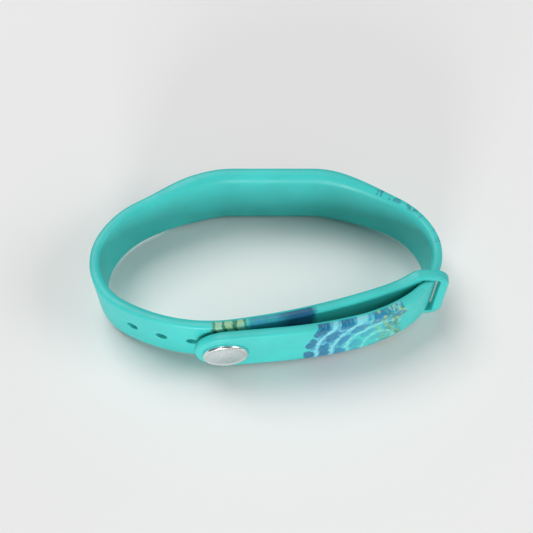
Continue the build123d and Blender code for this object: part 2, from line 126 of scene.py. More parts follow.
# Loose points keep this far from the innermost ring of an edge, and so on.
EDGE_CLEAR = 0.3
CUT_CLEAR = 0.25  # round a hole or slot
SEAM_CLEAR = 0.4
LIP_CLEAR = 0.35
FLOOR_CLEAR = 0.8
FOOT_SAMPLES = 4001  # places tried along the pocket's skin line for the foot of a point
WALL_DRAFT = 0.03  # each ring down the pocket's wall is this much smaller than the one above
WALL_TOP = 1.0  # the wall's upper ring is this far below the lip
WALL_FOOT = 0.2  # but never nearer to the floor than this
MERGE = 1e-6  # points in the flat nearer than this become one
MERGE_METRES = 1e-7  # and points of a mesh

# ---- the capsule, as in the CAD model ----
CAPSULE = (34.0, 12.4)  # length and width
CAPSULE_THICK = 5.85
CAPSULE_GAP = 0.2
OPENING = (CAPSULE[0] + 2 * CAPSULE_GAP, CAPSULE[1] + 2 * CAPSULE_GAP)
CAPSULE_SEAT = 0.75  # from the skin face to the capsule's back
SKIN_WALL = 0.7  # the pocket's floor
CROWN_ACROSS = 9.0  # radius of the domed face across the capsule
CROWN_ALONG = 70.0  # and along it
LENS = (28.4, 8.8)
LENS_THICK = 0.65
LENS_GAP = 0.1
SPLIT = 2.5  # height of the housings' parting line over the capsule's back

# ---- the capsule's finer shapes, in Blender only ----
BACK_ROUND = 1.2
BACK_RIM = 0.3  # between the back's rounding and its dish
BACK_DISH = 0.05
FRONT_ROUND = 0.45
SEAM_BEVEL = 0.08  # along the parting line
SEAM_GAP = 0.01  # half the gap between the housings
SEAM_WALL = 0.6  # the housings close across the parting line over rings this far in
LENS_ROUND = 0.14
LENS_BEVEL = 0.1  # round its back
LENS_MARGIN = 0.4  # from the lens's edge to the rings that close its face
SEAT_BEVEL = 0.08
SEAT_DRAFT = 0.02
SEAT_SINK = 0.05  # the lens's seat is this far under its back
SEAT_MARGIN = 0.6  # from the seat's edge to the rings that close it
PILL_COUNT = 28  # points on each half circle and on each long side of a pill

# ---- the stud, as in the CAD model: radii, and depths outwards from the strap's skin face ----
CAP_RADIUS = 4.75
CAP_BACK = 2.1
CAP_FRONT = 3.1
FLANGE_RADIUS = 2.5
FLANGE_BACK = 0.6
POST_RADIUS = 1.1
POST_HEAD_RADIUS = 1.3
POST_NECK = -2.6
POST_END = -3.7

# ---- the stud's finer shapes, in Blender only: bevels are across and deep ----
CAP_ROUND = 0.45
CAP_BEVEL = 0.1
CAP_STEP = [(0.62, 0.02), (0.78, 0.1), (1.0, 0.12)]  # its border's inner edge: in from the rim, and down
CAP_FIELD = CAP_RADIUS - CAP_STEP[-1][0]
CAP_DOME = 0.14
CAP_DOME_START = 0.3  # the dome's first ring is this far inside the field
FLANGE_FACE = -0.04
FLANGE_BEVEL = (0.12, 0.1)
FLANGE_EASE = 0.08  # from the post to the flange
NECK_EASE = 0.05  # from the head to the post
HEAD_BEVEL = (0.1, 0.12)
POST_HEAD_ROUND = 0.35
POLE = 0.02  # a turned or domed face closes over a last ring of this size
LATHE_SEGMENTS = 96
TANGENT_STEP = 0.01  # along the strap, to find its direction at the stud

# ---- the silicone's colour and print ----
TEAL = (0.050, 0.580, 0.545)
DUST = (0.450, 0.800, 0.780)
INK_NAVY = (0.006, 0.080, 0.200)
INK_BLUE = (0.022, 0.250, 0.440)
INK_SKY = (0.120, 0.520, 0.680)
INK_PALE = (0.260, 0.700, 0.740)
INK_TEAL = (0.022, 0.310, 0.330)
INK_MOSS = (0.030, 0.190, 0.110)
INK_YELLOW = (0.350, 0.520, 0.165)
INK_MINT = (0.240, 0.560, 0.440)
PRINT_NOISE = (0.32, 0.85, 2.3)  # coarse, medium and fine, per millimetre
# Where the print is, along the band: negative on the stud strap. Pairs are from and to.
PRINT_BACK = (-42.0, -22.0)
PRINT_STRIPES = (75.5, 82.4)
PRINT_BLUE = (82.9, 96.5)
BLUE_TO_NAVY = (90.0, 94.0)
WAVES_END = (-55.4, -54.6)
WAVES_FOOT = (-78.5, -78.0)
SPECKS_START = (-63.5, -58.5)
MOSS_START = (-61.0, -57.0)
WAVE_CENTRE = (-60.5, -4.5)  # along the band, and height
WAVE_SQUASH = 0.8
WAVE_WANDER = 2.4  # how far noise moves the rows, from one extreme to the other
WAVE_STEP = 3.3  # from one row of scales to the next
ROWS_SOLID = (4.25, 4.5)  # from here outwards only the scales are inked
ROWS_END = (4.9, 5.0)
ROW_SHIFT = 0.37  # of a scale, from one row to the next
SCALE_PITCH = 4.7  # along a row
SCALE_OVAL = (9.5, 5.2)  # how sharply a scale ends across its row and along it
STRIPE_TURN = 2.9  # radians per millimetre
PRINT_DEPTH = (0.22, 0.42)  # ink starts between these shares of the way from skin face to outer face

# ---- the other materials ----
MASK_GREEN = (0.02, 0.16, 0.07)
PLAIN_SCALE = 400.0
# slot: (colour, lowest roughness, highest roughness, metallic)
PLAIN_SLOTS = {
    "seal_rubber": ((0.03, 0.03, 0.03), 0.6, 0.8, 0.0),
    "adhesive": ((0.12, 0.12, 0.12), 0.5, 0.7, 0.0),
    "copper_film": ((0.62, 0.33, 0.16), 0.25, 0.45, 1.0),
    "display_glass": ((0.02, 0.025, 0.03), 0.05, 0.12, 0.0),
    "white_plastic": ((0.75, 0.75, 0.72), 0.4, 0.55, 0.0),
    "flex_amber": ((0.55, 0.24, 0.03), 0.3, 0.45, 0.0),
    "chip_black": ((0.015, 0.015, 0.017), 0.5, 0.65, 0.0),
    "shield_metal": ((0.72, 0.73, 0.74), 0.28, 0.45, 1.0),
    "battery_foil": ((0.62, 0.63, 0.65), 0.3, 0.5, 1.0),
    "foam": ((0.05, 0.05, 0.05), 0.8, 0.95, 0.0),
    "motor_steel": ((0.66, 0.66, 0.67), 0.25, 0.4, 1.0),
    "rotor_weight": ((0.25, 0.25, 0.26), 0.4, 0.55, 1.0),
    "contact_gold": ((0.95, 0.72, 0.32), 0.15, 0.3, 1.0),
}
MIX_COLOUR_SOCKETS = (0, 6, 7)  # a mix node's share and two colours

# ---- floor, light and camera, in metres except as said ----
FLOOR_SIZE = 4.0
FLOOR_COLOUR = (0.86, 0.86, 0.85)
WORLD_COLOUR = (0.96, 0.98, 1.0)
WORLD_STRENGTH = 0.16
# name: (place, target, size, watts)
LIGHTS = {
    "front": ((-0.12, -0.62, 0.112), (0, 0, 0.01), 0.20, 2.7),
    "top": ((-0.30, 0.36, 0.78), (0, 0, 0), 0.55, 5.2),
    "side": ((0.45, -0.06, 0.35), (0, 0, 0), 0.30, 1.1),
}
CAMERA_ELEVATION = 62.05  # degrees
CAMERA_DISTANCE = 214.73  # millimetres
CAMERA_TARGET = (SKIN_START[0] - 1.38, SKIN_START[1] - 16.86, MIDDLE)  # millimetres
CAMERA_LENS = 66.57
CAMERA_SENSOR = 36.0
CAMERA_CLIP = (0.01, 20)


def smooth(t):
    """0 to 1 with level ends, held past them."""
    t = np.clip(t, 0.0, 1.0)
    return t * t * (3 - 2 * t)


# ---- the skin line ----
class SkinLine:
    """The band's skin face in plan. side is 1 where the band bends left and -1 where it bends right."""

    def __init__(self, start, heading, legs, side):
        self.side = side
        self.legs = []
        x, y = start
        turned = math.radians(heading)
        at = 0.0
        for radius, amount in legs:
            length = radius * math.radians(abs(amount)) if radius else amount
            bend = side * math.copysign(1 / radius, amount) if radius else 0.0
            self.legs.append((at, x, y, turned, bend))
            x, y, turned = self.along(x, y, turned, bend, length)
            at += length
        self.legs.append((at, x, y, turned, 0.0))
        self.length = at

    @staticmethod
    def along(x, y, turned, bend, distance):
        if not bend:
            return x + distance * np.cos(turned), y + distance * np.sin(turned), turned + 0 * distance
        after = turned + bend * distance
        return (
            x + (np.sin(after) - np.sin(turned)) / bend,
            y - (np.cos(after) - np.cos(turned)) / bend,
            after,
        )

    def place(self, distance):
        """Points and headings at distances along the line; it goes on straight past its last leg."""
        distance = np.asarray(distance, float)
        x, y, turned = (np.zeros_like(distance) for _ in range(3))
        for index, (at, *start, bend) in enumerate(self.legs):
            last = index + 1 == len(self.legs)
            end = math.inf if last else self.legs[index + 1][0]
            here = (distance >= (at if index else -math.inf)) & (distance < end)
            x[here], y[here], turned[here] = self.along(*start, bend, distance[here] - at)
        return x, y, turned

    def point(self, distance, height, depth):
        """Points at a depth outwards from the skin face, and a height from the middle plane."""
        x, y, turned = self.place(distance)
        outwards = self.side * depth
        return np.stack([x + outwards * np.sin(turned), y - outwards * np.cos(turned), MIDDLE + height], -1)


left_line = SkinLine(SKIN_START, 180, LEFT_LEGS + LOOP_LEGS, 1)
right_line = SkinLine(SKIN_START, 0, RIGHT_LEGS, -1)
BAND_END = left_line.length
LOOP_AT = SkinLine(SKIN_START, 180, LEFT_LEGS, 1).length


def band_point(along, height, depth):
    """Along is from the pocket's middle: positive on the hole strap, negative on the stud strap."""
    along = np.asarray(along, float)
    depth = along * 0 + depth
    height = along * 0 + height
    left = left_line.point(np.abs(along), height, depth)
    right = right_line.point(np.abs(along), height, depth)
    return np.where((along >= 0)[..., None], left, right)


def half_height(along):
    """Half the band's width: full at the pocket, less along the straps, flaring at the keeper loop."""
    along = np.asarray(along, float)
    pocket = 1 - smooth((np.abs(along) - POCKET_FULL) / (POCKET_TAPER - POCKET_FULL))
    loop = smooth((along - LOOP_AT - LOOP_FLARE[0]) / (LOOP_FLARE[1] - LOOP_FLARE[0]))
    return STRAP_HALF + (RIM_HALF - STRAP_HALF) * np.maximum(pocket, loop)


def thickness(along):
    full = np.where(along >= 0, *RIM_FULL)
    pocket = 1 - smooth((np.abs(along) - full) / (RIM_TAPER - full))
    return STRAP_THICK + (RIM_THICK - STRAP_THICK) * pocket


def skin_round(along):
    """The rounding of the skin side's edges: generous at the pocket, small at the keeper loop."""
    pocket = 1 - smooth((np.abs(along) - POCKET_FULL) / (RIM_TAPER - POCKET_FULL))
    loop = smooth((along - LOOP_AT + LOOP_EASE) / LOOP_EASE)
    strap = SKIN_ROUND + (POCKET_SKIN_ROUND - SKIN_ROUND) * pocket
    return strap + (LOOP_ROUND - strap) * loop


def outer_round(along):
    loop = smooth((along - LOOP_AT + LOOP_EASE) / LOOP_EASE)
    return EDGE_ROUND + (LOOP_ROUND - EDGE_ROUND) * loop


# ---- outlines in the flat: a strap laid out as (along, height) ----
def offset_path(path, distance, closed):
    """The path moved to its left by a distance, which may differ from point to point."""
    around = np.concatenate([path[-1:], path, path[:1]]) if closed else path
    tangent = np.gradient(around, axis=0)
    tangent /= np.linalg.norm(tangent, axis=1)[:, None]
    normal = np.stack([-tangent[:, 1], tangent[:, 0]], -1)
    return path + (normal[1:-1] if closed else normal) * np.reshape(distance, (-1, 1))


def arc(centre, radius, start, end, count):
    angles = np.radians(np.linspace(start, end, count))
    return np.stack([centre[0] + radius * np.cos(angles), centre[1] + radius * np.sin(angles)], -1)


def joined(*stretches):
    """Stretches end to end, with each repeated point left out."""
    points = [np.asarray(stretches[0], float)]
    for stretch in stretches[1:]:
        stretch = np.asarray(stretch, float)
        repeated = np.linalg.norm(stretch[0] - points[-1][-1]) < MERGE
        points.append(stretch[1:] if repeated else stretch)
    return np.concatenate(points)


def straight(a, b):
    count = max(2, int(np.hypot(b[0] - a[0], b[1] - a[1]) / PATH_STEP) + 1)
    return np.linspace(a, b, count)


class Outline:
    """A boundary of the flat strap, and the radii that its outer and skin edges are rounded with.

    A cut is a closed path round a hole or slot. Any other outline is open, and closes across the seam.
    """

    def __init__(self, path, outer_radius, skin_radius, cut=False):
        self.path, self.cut = path, cut
        self.radii = {True: outer_radius + 0 * path[:, 0], False: skin_radius + 0 * path[:, 0]}

    def rings(self, outer):
        """Rings from the path to one radius inside the material, each with its drop from the face."""
        radius = self.radii[outer]
        side = -1 if self.cut else 1
        made = []
        for angle in ROUND_STEPS:
            path = offset_path(self.path, side * radius * (1 - math.cos(angle)), self.cut)
            made.append((path, radius * (1 - math.sin(angle))))
        return made


def inside(path, points):
    """Which points lie inside a path; an open one is closed by a straight line."""
    within = np.zeros(len(points), bool)
    for (x, y), (next_x, next_y) in zip(path, np.roll(path, -1, axis=0)):
        spans = (y > points[:, 1]) != (next_y > points[:, 1])
        crossing = x + (points[:, 1] - y) * (next_x - x) / ((next_y - y) or 1.0)
        within ^= spans & (points[:, 0] < crossing)
    return within


def fill_flat(rings, edges_across, outlines, extra):
    """Triangles over the flat points: rings are constraint paths, extra are loose points inside."""
    points, edges, ring_index = [], [], []
    for ring, closed in rings:
        first = len(points)
        points.extend(map(tuple, ring))
        count = len(ring)
        ring_index.append((first, count))
        last = count if closed else count - 1
        edges.extend((first + i, first + (i + 1) % count) for i in range(last))
    edges.extend(edges_across(ring_index))
    points.extend(map(tuple, extra))
    verts, _, faces, sources, *_ = delaunay_2d_cdt([Vector(p) for p in points], edges, [], 0, MERGE)
    centres = np.array([np.mean([verts[i] for i in f], axis=0) for f in faces])
    kept = np.ones(len(centres), bool)
    for outline in outlines:
        kept &= inside(outline.path, centres) != outline.cut
    faces = [[sources[i][0] for i in f] for f, ok in zip(faces, kept) if ok]
    return np.array(points), faces, ring_index


def to_mesh(name, points, faces, strap=None, smooth_angle=40):
    """A mesh object from points in millimetres, with its outward faces worked out and smooth shading."""
    mesh = bpy.data.meshes.new(name)
    mesh.from_pydata([tuple(p) for p in np.asarray(points) * MM], [], [list(f) for f in faces])
    if strap is not None:
        attribute = mesh.attributes.new("strap", "FLOAT_VECTOR", "POINT")
        attribute.data.foreach_set("vector", np.asarray(strap, np.float32).ravel())
    mesh.validate()
    piece = bpy.data.objects.new(name, mesh)
    bpy.context.scene.collection.objects.link(piece)
    bpy.context.view_layer.objects.active = piece
    bpy.ops.object.select_all(action="DESELECT")
    piece.select_set(True)
    bpy.ops.object.mode_set(mode="EDIT")
    bpy.ops.mesh.select_all(action="SELECT")
    bpy.ops.mesh.remove_doubles(threshold=MERGE_METRES)
    bpy.ops.mesh.normals_make_consistent(inside=False)
    bpy.ops.object.mode_set(mode="OBJECT")
    bpy.ops.object.shade_smooth()
    piece.data.set_sharp_from_angle(angle=math.radians(smooth_angle))
    return piece


# ---- one strap mesh: two flat sheets, drawn to their depths and joined round every boundary ----
def strap_sheet(outlines, loose, depth_of, sign, outer, opening=None):
    """One face of a strap: its points in space, its triangles, where each ring starts, and its flat places.

    A flat place is (along the band, height, how far through the band from the skin face).
    """
    rings, drops = [], []
    for outline in outlines:
        for ring, drop in outline.rings(outer):
            rings.append((ring, outline.cut))
            drops.append(drop)
    if opening:
        for ring, _ in opening["rings"]:
            rings.append((ring, True))
            drops.append(np.zeros(len(ring)))
        loose = np.concatenate([loose[opening["outside"](loose)], opening["floor"]])
    drops.append(np.zeros(len(loose)))
    flat, faces, index = fill_flat(rings, lambda at: closing_edges(at, outlines), outlines, loose)
    drop = np.concatenate(drops)
    depth = depth_of(flat) - drop if outer else depth_of(flat) + drop
    space = band_point(sign * flat[:, 0], flat[:, 1], depth)
    if opening:
        first = index[len(outlines) * len(ROUND_STEPS)][0]
        for ring, place in opening["rings"]:
            space[first:first + len(ring)] = place
            first += len(ring)
        space[-len(opening["floor"]):, 1] = opening["floor_y"]
    share = depth / (depth_of(flat) if outer else STRAP_THICK)
    strap = np.stack([sign * flat[:, 0], flat[:, 1], share], -1)
    return space, faces, index, strap


def strap_mesh(name, outlines, clear, outer_depth, sign, opening=None):
    """A closed strap. clear(points, outer) says which loose points keep away from that face's rings."""
    start, end = outlines[0].path[:, 0].min(), outlines[0].path[:, 0].max()
    grid = flat_grid(start, end, MESH_STEP)
    space, faces, outer_rings, strap = strap_sheet(
        outlines, grid[clear(grid, True)], outer_depth, sign, True, opening
    )
    skin_space, skin_faces, skin_rings, skin_strap = strap_sheet(
        outlines, grid[clear(grid, False)], lambda flat: 0 * flat[:, 0], sign, False
    )
    shift = len(space)
    faces += [[i + shift for i in reversed(face)] for face in skin_faces]
    for number, outline in enumerate(outlines):
        own = slice(number * len(ROUND_STEPS), (number + 1) * len(ROUND_STEPS))
        (a, count), (b, _) = outer_rings[own][0], skin_rings[own][0]
        for i in range(count if outline.cut else count - 1):
            j = (i + 1) % count
            faces.append([a + i, a + j, b + j + shift, b + i + shift])
        if not outline.cut:
            faces.append(end_chain(outer_rings[own], 0) + end_chain(skin_rings[own], shift)[::-1])
    points = np.concatenate([space, skin_space])
    return to_mesh(name, points, faces, np.concatenate([strap, skin_strap]))


def end_chain(rings, shift):
    """Across the cut end of an open outline, through every ring's first and last points."""
    starts = [first + shift for first, _ in rings]
    ends = [first + count - 1 + shift for first, count in rings]
    return starts + ends[::-1]


def closing_edges(index, outlines):
    """The same chain as edges, for each open outline."""
    edges = []
    for number, outline in enumerate(outlines):
        if not outline.cut:
            first = number * len(ROUND_STEPS)
            chain = end_chain(index[first:first + len(ROUND_STEPS)], 0)
            edges.extend(zip(chain[:-1], chain[1:]))
    return edges


def flat_grid(start, end, step):
    """Staggered points all over a strap."""
    along = np.arange(start, end, step)
    rows = []
    for number, height in enumerate(np.arange(-RIM_HALF, RIM_HALF, step)):
        rows.append(np.stack([along + (number % 2) * step / 2, along * 0 + height], -1))
    return np.concatenate(rows)


# ---- the main moulding: pocket, hole strap and keeper loop ----
def main_outline():
    """Once round the whole moulding in the flat, open at the seam with the stud strap."""
    corner_at = BAND_END - LOOP_CORNER
    along = np.arange(-SEAM_AT, corner_at, PATH_STEP)
    top = np.stack([along, half_height(along)], -1)
    corner = arc((corner_at, RIM_HALF - LOOP_CORNER), LOOP_CORNER, 90, 0, 12)
    side = straight((BAND_END, RIM_HALF - LOOP_CORNER), (BAND_END, LOOP_CORNER - RIM_HALF))
    upper = joined(top, corner)
    lower = upper[::-1] * (1, -1)
    return joined(upper, side, lower)[::-1]


def slot_path():
    """The keeper loop's slot: a rectangle with rounded corners."""
    near, far = (BAND_END - back for back in LOOP_SLOT)
    far, near, up = far - SLOT_CORNER, near + SLOT_CORNER, SLOT_HALF - SLOT_CORNER
    centres = [(far, up), (near, up), (near, -up), (far, -up)]
    corners = [arc(centre, SLOT_CORNER, 90 * k, 90 * k + 90, 7) for k, centre in enumerate(centres)]
    sides = [straight(a[-1], b[0]) for a, b in zip(corners, corners[1:] + corners[:1])]
    return joined(*[stretch for pair in zip(corners, sides) for stretch in pair])[:-1]


def hole_path(at, radius):
    return arc((at, 0), radius, 0, 360, 41)[:-1]


def pill_distance(x, z, size):
    """How far outside a pill of that (length, width) a point is."""
    straight_half = (size[0] - size[1]) / 2
    return np.hypot(np.maximum(np.abs(x) - straight_half, 0), z) - size[1] / 2


def pill_path(length, width):
    """A closed pill outline. Pills of any size match point for point."""
    half = (length - width) / 2
    right = arc((half, 0), width / 2, -90, 90, PILL_COUNT)
    left = arc((-half, 0), width / 2, 90, 270, PILL_COUNT)
    across = np.linspace(right[-1], left[0], PILL_COUNT)
    back = np.linspace(left[-1], right[0], PILL_COUNT)
    return joined(right, across, left, back)[:-1]


def lip_height(x):
    """How far the pocket's lip stands from the skin face: highest in the middle."""
    return RIM_THICK - LIP_CROWN + np.sqrt(LIP_CROWN ** 2 - x ** 2)


def main_outer_depth(flat):
    """How far out the outer face is: at the band's thickness, or at the pocket's lip if that is further."""
    along, height = flat[:, 0], flat[:, 1]
    base = thickness(along)
    skin = band_point(along, 0, 0)
    outwards = band_point(along, 0, 1) - skin
    x = skin[:, 0] + base * outwards[:, 0] - SKIN_START[0]
    x = np.clip(x, -POCKET_TAPER, POCKET_TAPER)
    lip_y = SKIN_START[1] + lip_height(x)
    lip_depth = (lip_y - skin[:, 1]) / np.maximum(outwards[:, 1], POCKET_END_SLOPE)
    away = pill_distance(x, height, OPENING)
    lip = (1 - smooth((away - LIP_FLAT) / LIP_FALL)) * (np.abs(along) < POCKET_TAPER)
    return base + np.maximum(lip_depth - base, 0) * lip


def flat_of(space_x, space_y):
    """Where along the flat strap points near the pocket lie: the feet of their lines to the skin face."""
    along = np.linspace(-POCKET_TAPER, POCKET_TAPER, FOOT_SAMPLES)
    skin = band_point(along, 0.0, 0.0)
    away = (space_x[:, None] - skin[None, :, 0]) ** 2 + (space_y[:, None] - skin[None, :, 1]) ** 2
    return along[np.argmin(away, axis=1)]


def pocket_opening():
    """Rings of the pocket's lip, wall and floor, each a flat path and its place in space."""
    floor_y = SKIN_START[1] + SKIN_WALL

    def ring(grow, y_of):
        path = pill_path(OPENING[0] + 2 * grow, OPENING[1] + 2 * grow)
        x = SKIN_START[0] + path[:, 0]
        lip = SKIN_START[1] + lip_height(path[:, 0])
        flat = np.stack([flat_of(x, lip), path[:, 1]], -1)
        return flat, np.stack([x, y_of(lip), MIDDLE + path[:, 1]], -1)

    rings = []
    for angle in ROUND_STEPS[::-1]:
        drop = LIP_ROUND * (1 - math.sin(angle))
        rings.append(ring(LIP_ROUND * (1 - math.cos(angle)), lambda lip: lip - drop))
    rings.append(ring(-WALL_DRAFT, lambda lip: np.maximum(lip - WALL_TOP, floor_y + WALL_FOOT)))
    rings.append(ring(-2 * WALL_DRAFT, lambda lip: lip * 0 + floor_y))
    return rings, floor_y


def path_away(path, flat):
    """How far points are from an open path."""
    start, run = path[:-1], np.diff(path, axis=0)
    nearest = np.full(len(flat), math.inf)
    for (x, y), (run_x, run_y) in zip(start, run):
        share = ((flat[:, 0] - x) * run_x + (flat[:, 1] - y) * run_y) / (run_x ** 2 + run_y ** 2)
        share = np.clip(share, 0, 1)
        away = np.hypot(flat[:, 0] - x - share * run_x, flat[:, 1] - y - share * run_y)
        nearest = np.minimum(nearest, away)
    return nearest


def hole_away(flat):
    """How far points are outside the nearest hole."""
    return np.min([np.hypot(flat[:, 0] - at, flat[:, 1]) - radius for at, radius in HOLES], axis=0)


def slot_away(flat):
    near, far = (BAND_END - back for back in LOOP_SLOT)
    past_end = np.abs(flat[:, 0] - (near + far) / 2) - (far - near) / 2
    return np.maximum(past_end, np.abs(flat[:, 1]) - SLOT_HALF)


def build_main():
    """The pocket, hole strap and keeper loop, as one moulding."""
    edge = main_outline()
    outlines = [Outline(edge, outer_round(edge[:, 0]), skin_round(edge[:, 0]))]
    outlines += [Outline(hole_path(*hole), HOLE_ROUND, HOLE_ROUND, cut=True) for hole in HOLES]
    outlines.append(Outline(slot_path(), SLOT_ROUND, SLOT_ROUND, cut=True))

    def clear(flat, outer):
        radius = (outer_round if outer else skin_round)(flat[:, 0])
        near_edge = ~inside(edge, flat) | (path_away(edge, flat) < radius + EDGE_CLEAR)
        near_hole = hole_away(flat) < HOLE_ROUND + CUT_CLEAR
        near_slot = slot_away(flat) < SLOT_ROUND + CUT_CLEAR
        return ~(near_edge | near_hole | near_slot) & (flat[:, 0] > SEAM_CLEAR - SEAM_AT)

    rings, floor_y = pocket_opening()

    def outside(flat):
        lip = band_point(flat[:, 0], 0, RIM_THICK)
        return pill_distance(lip[:, 0] - SKIN_START[0], flat[:, 1], OPENING) > LIP_ROUND + LIP_CLEAR

    floor = flat_grid(-CAPSULE[0] / 2, CAPSULE[0] / 2, FLOOR_STEP)
    floor = floor[pill_distance(floor[:, 0], floor[:, 1], OPENING) < -FLOOR_CLEAR]
    floor[:, 0] = flat_of(floor[:, 0] + SKIN_START[0], SKIN_START[1] + lip_height(floor[:, 0]))
    opening = {"rings": rings, "outside": outside, "floor": floor, "floor_y": floor_y}
    piece = strap_mesh("band_moulding", outlines, clear, main_outer_depth, 1, opening)
    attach(piece, "band")
    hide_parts("band_pocket", "hole_strap", "keeper_loop")
    return piece, "silicone"


# ---- the stud strap, from inside the keeper loop to its tip ----
def build_stud_strap():
    top = straight((SEAM_AT, STRAP_HALF), (TIP_CENTRE_AT, STRAP_HALF))
    tip = arc((TIP_CENTRE_AT, 0), STRAP_HALF, 90, -90, 50)
    path = joined(top, tip, top[::-1] * (1, -1))[::-1]

    def away(flat):
        into = np.maximum(flat[:, 0] - TIP_CENTRE_AT, 0)
        return STRAP_HALF - np.hypot(into, flat[:, 1])

    def clear(flat, outer):
        radius = EDGE_ROUND if outer else SKIN_ROUND
        return (away(flat) > radius + EDGE_CLEAR) & (flat[:, 0] > SEAM_AT + SEAM_CLEAR)

    def outer_depth(flat):
        return flat[:, 0] * 0 + STRAP_THICK

    outlines = [Outline(path, EDGE_ROUND, SKIN_ROUND)]
    piece = strap_mesh("stud_strap_moulding", outlines, clear, outer_depth, -1)
    start, end = (band_point(np.array([-HINGE_AT + s]), 0, 0)[0] * MM for s in (BLEND_HALF, -BLEND_HALF))
    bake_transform(piece)
    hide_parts("stud_strap", "stud_strap_tip")
    return piece, "silicone"


# ---- turned pieces: the stud ----
def skin_of(rings):
    """Faces between rings of equal size, with both ends closed."""
    count = len(rings[0])
    faces = []
    for number in range(len(rings) - 1):
        first = number * count
        for i in range(count):
            j = (i + 1) % count
            faces.append([first + i, first + j, first + count + j, first + count + i])
    faces.append(list(range(count))[::-1])
    faces.append(list(range((len(rings) - 1) * count, len(rings) * count)))
    return np.concatenate(rings), faces


def lathe(name, profile):
    """Turns (radius, depth) points about the stud's axis. Depth is outwards from the strap's skin face."""
    origin, beside = band_point(np.array([-STUD_AT, -STUD_AT - TANGENT_STEP]), 0, 0)
    along = (beside - origin) / np.linalg.norm(beside - origin)
    outwards = band_point(np.array([-STUD_AT]), 0, 1)[0] - origin
    angles = np.linspace(0, 2 * math.pi, LATHE_SEGMENTS, endpoint=False)
    rings = []
    for radius, depth in profile:
        ring = origin + outwards * depth + radius * np.cos(angles)[:, None] * along
        ring[:, 2] += radius * np.sin(angles)
        rings.append(ring)
    return to_mesh(name, *skin_of(rings), smooth_angle=50)


def cap_profile():
    """From the middle of the cap's back, round its edge and over its raised border to the domed field."""
    dome_foot = CAP_FRONT - CAP_DOME
    dome = [
        (radius, dome_foot + CAP_DOME * math.cos(math.pi / 2 * radius / CAP_FIELD))
        for radius in np.linspace(CAP_FIELD - CAP_DOME_START, POLE, 12)
    ]
    return [
        (POLE, CAP_BACK),
        (CAP_RADIUS - CAP_BEVEL, CAP_BACK),
        (CAP_RADIUS, CAP_BACK + CAP_BEVEL),
        *arc((CAP_RADIUS - CAP_ROUND, CAP_FRONT - CAP_ROUND), CAP_ROUND, 0, 90, 8),
        *[(CAP_RADIUS - into, CAP_FRONT - under) for into, under in CAP_STEP],
        *dome,
    ]


def rivet_profile():
    """From the end of the post's head, along the neck to the flange."""
    head_centre = (POST_HEAD_RADIUS - POST_HEAD_ROUND, POST_END + POST_HEAD_ROUND)
    return [
        (POLE, POST_END),
        *arc(head_centre, POST_HEAD_ROUND, -90, 0, 6),
        (POST_HEAD_RADIUS, POST_NECK - HEAD_BEVEL[1]),
        (POST_HEAD_RADIUS - HEAD_BEVEL[0], POST_NECK),
        (POST_RADIUS, POST_NECK + NECK_EASE),
        (POST_RADIUS, FLANGE_FACE - FLANGE_EASE),
        (POST_RADIUS + FLANGE_EASE, FLANGE_FACE),
        (FLANGE_RADIUS - FLANGE_BEVEL[0], FLANGE_FACE),
        (FLANGE_RADIUS, FLANGE_FACE + FLANGE_BEVEL[1]),
        (FLANGE_RADIUS, FLANGE_BACK),
        (POLE, FLANGE_BACK),
    ]


def build_stud():
    cap = lathe("stud_button", cap_profile())
    rivet = lathe("stud_rivet", rivet_profile())
    for piece, node in ((cap, "stud_cap"), (rivet, "stud_post")):
        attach(piece, "stud_tip")
        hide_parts(node)
    return [(cap, "stud_metal"), (rivet, "stud_metal")]


# ---- pill-shaped pieces: the capsule ----
def crown_height(x, z):
    """Height of the capsule's domed face over its back."""
    across = CROWN_ALONG - CROWN_ACROSS + np.sqrt(CROWN_ACROSS ** 2 - z ** 2)
    return CAPSULE_THICK - CROWN_ALONG + np.sqrt(across ** 2 - x ** 2)


def capsule_ring(size, height=None, under=0.0):
    """A pill-shaped ring at a height from the capsule's back, or at a depth under its domed face."""
    flat = pill_path(*size)
    y = crown_height(flat[:, 0], flat[:, 1]) - under if height is None else height + 0 * flat[:, 0]
    back = SKIN_START[1] + CAPSULE_SEAT
    return np.stack([SKIN_START[0] + flat[:, 0], back + y, MIDDLE + flat[:, 1]], -1)


def capsule_rings(sizes, **at):
    return [capsule_ring(size, **at) for size in sizes]


def inset(size, by):
    return size[0] - 2 * by, size[1] - 2 * by


def spread(size, steps):
    """Sizes from a pill down to a line along its middle, for a surface that is curved all over."""
    return [(size[0] - size[1] * t, size[1] * (1 - t) + POLE * t) for t in np.linspace(0, 1, steps)]


def rounded_rings(size, radius, degrees):
    """Rings over the rounded edge of the domed face, from its side to its front."""
    rings = []
    for angle in np.radians(degrees):
        away, under = radius * (1 - math.cos(angle)), radius * (1 - math.sin(angle))
        rings.append(capsule_ring(inset(size, away), under=under))
    return rings


def back_rings():
    """The lower housing, from the middle of its dished back to the parting line."""
    rings = capsule_rings(spread(inset(CAPSULE, BACK_ROUND + BACK_RIM), 6)[::-1], height=BACK_DISH)
    rings.append(capsule_ring(inset(CAPSULE, BACK_ROUND), 0.0))
    for angle in ROUND_STEPS[1:]:
        away, up = BACK_ROUND * (1 - math.sin(angle)), BACK_ROUND * (1 - math.cos(angle))
        rings.append(capsule_ring(inset(CAPSULE, away), up))
    return [
        *rings,
        capsule_ring(CAPSULE, SPLIT - SEAM_BEVEL),
        capsule_ring(inset(CAPSULE, SEAM_BEVEL), SPLIT - SEAM_GAP),
        capsule_ring(inset(CAPSULE, SEAM_WALL), SPLIT - SEAM_GAP),
    ]


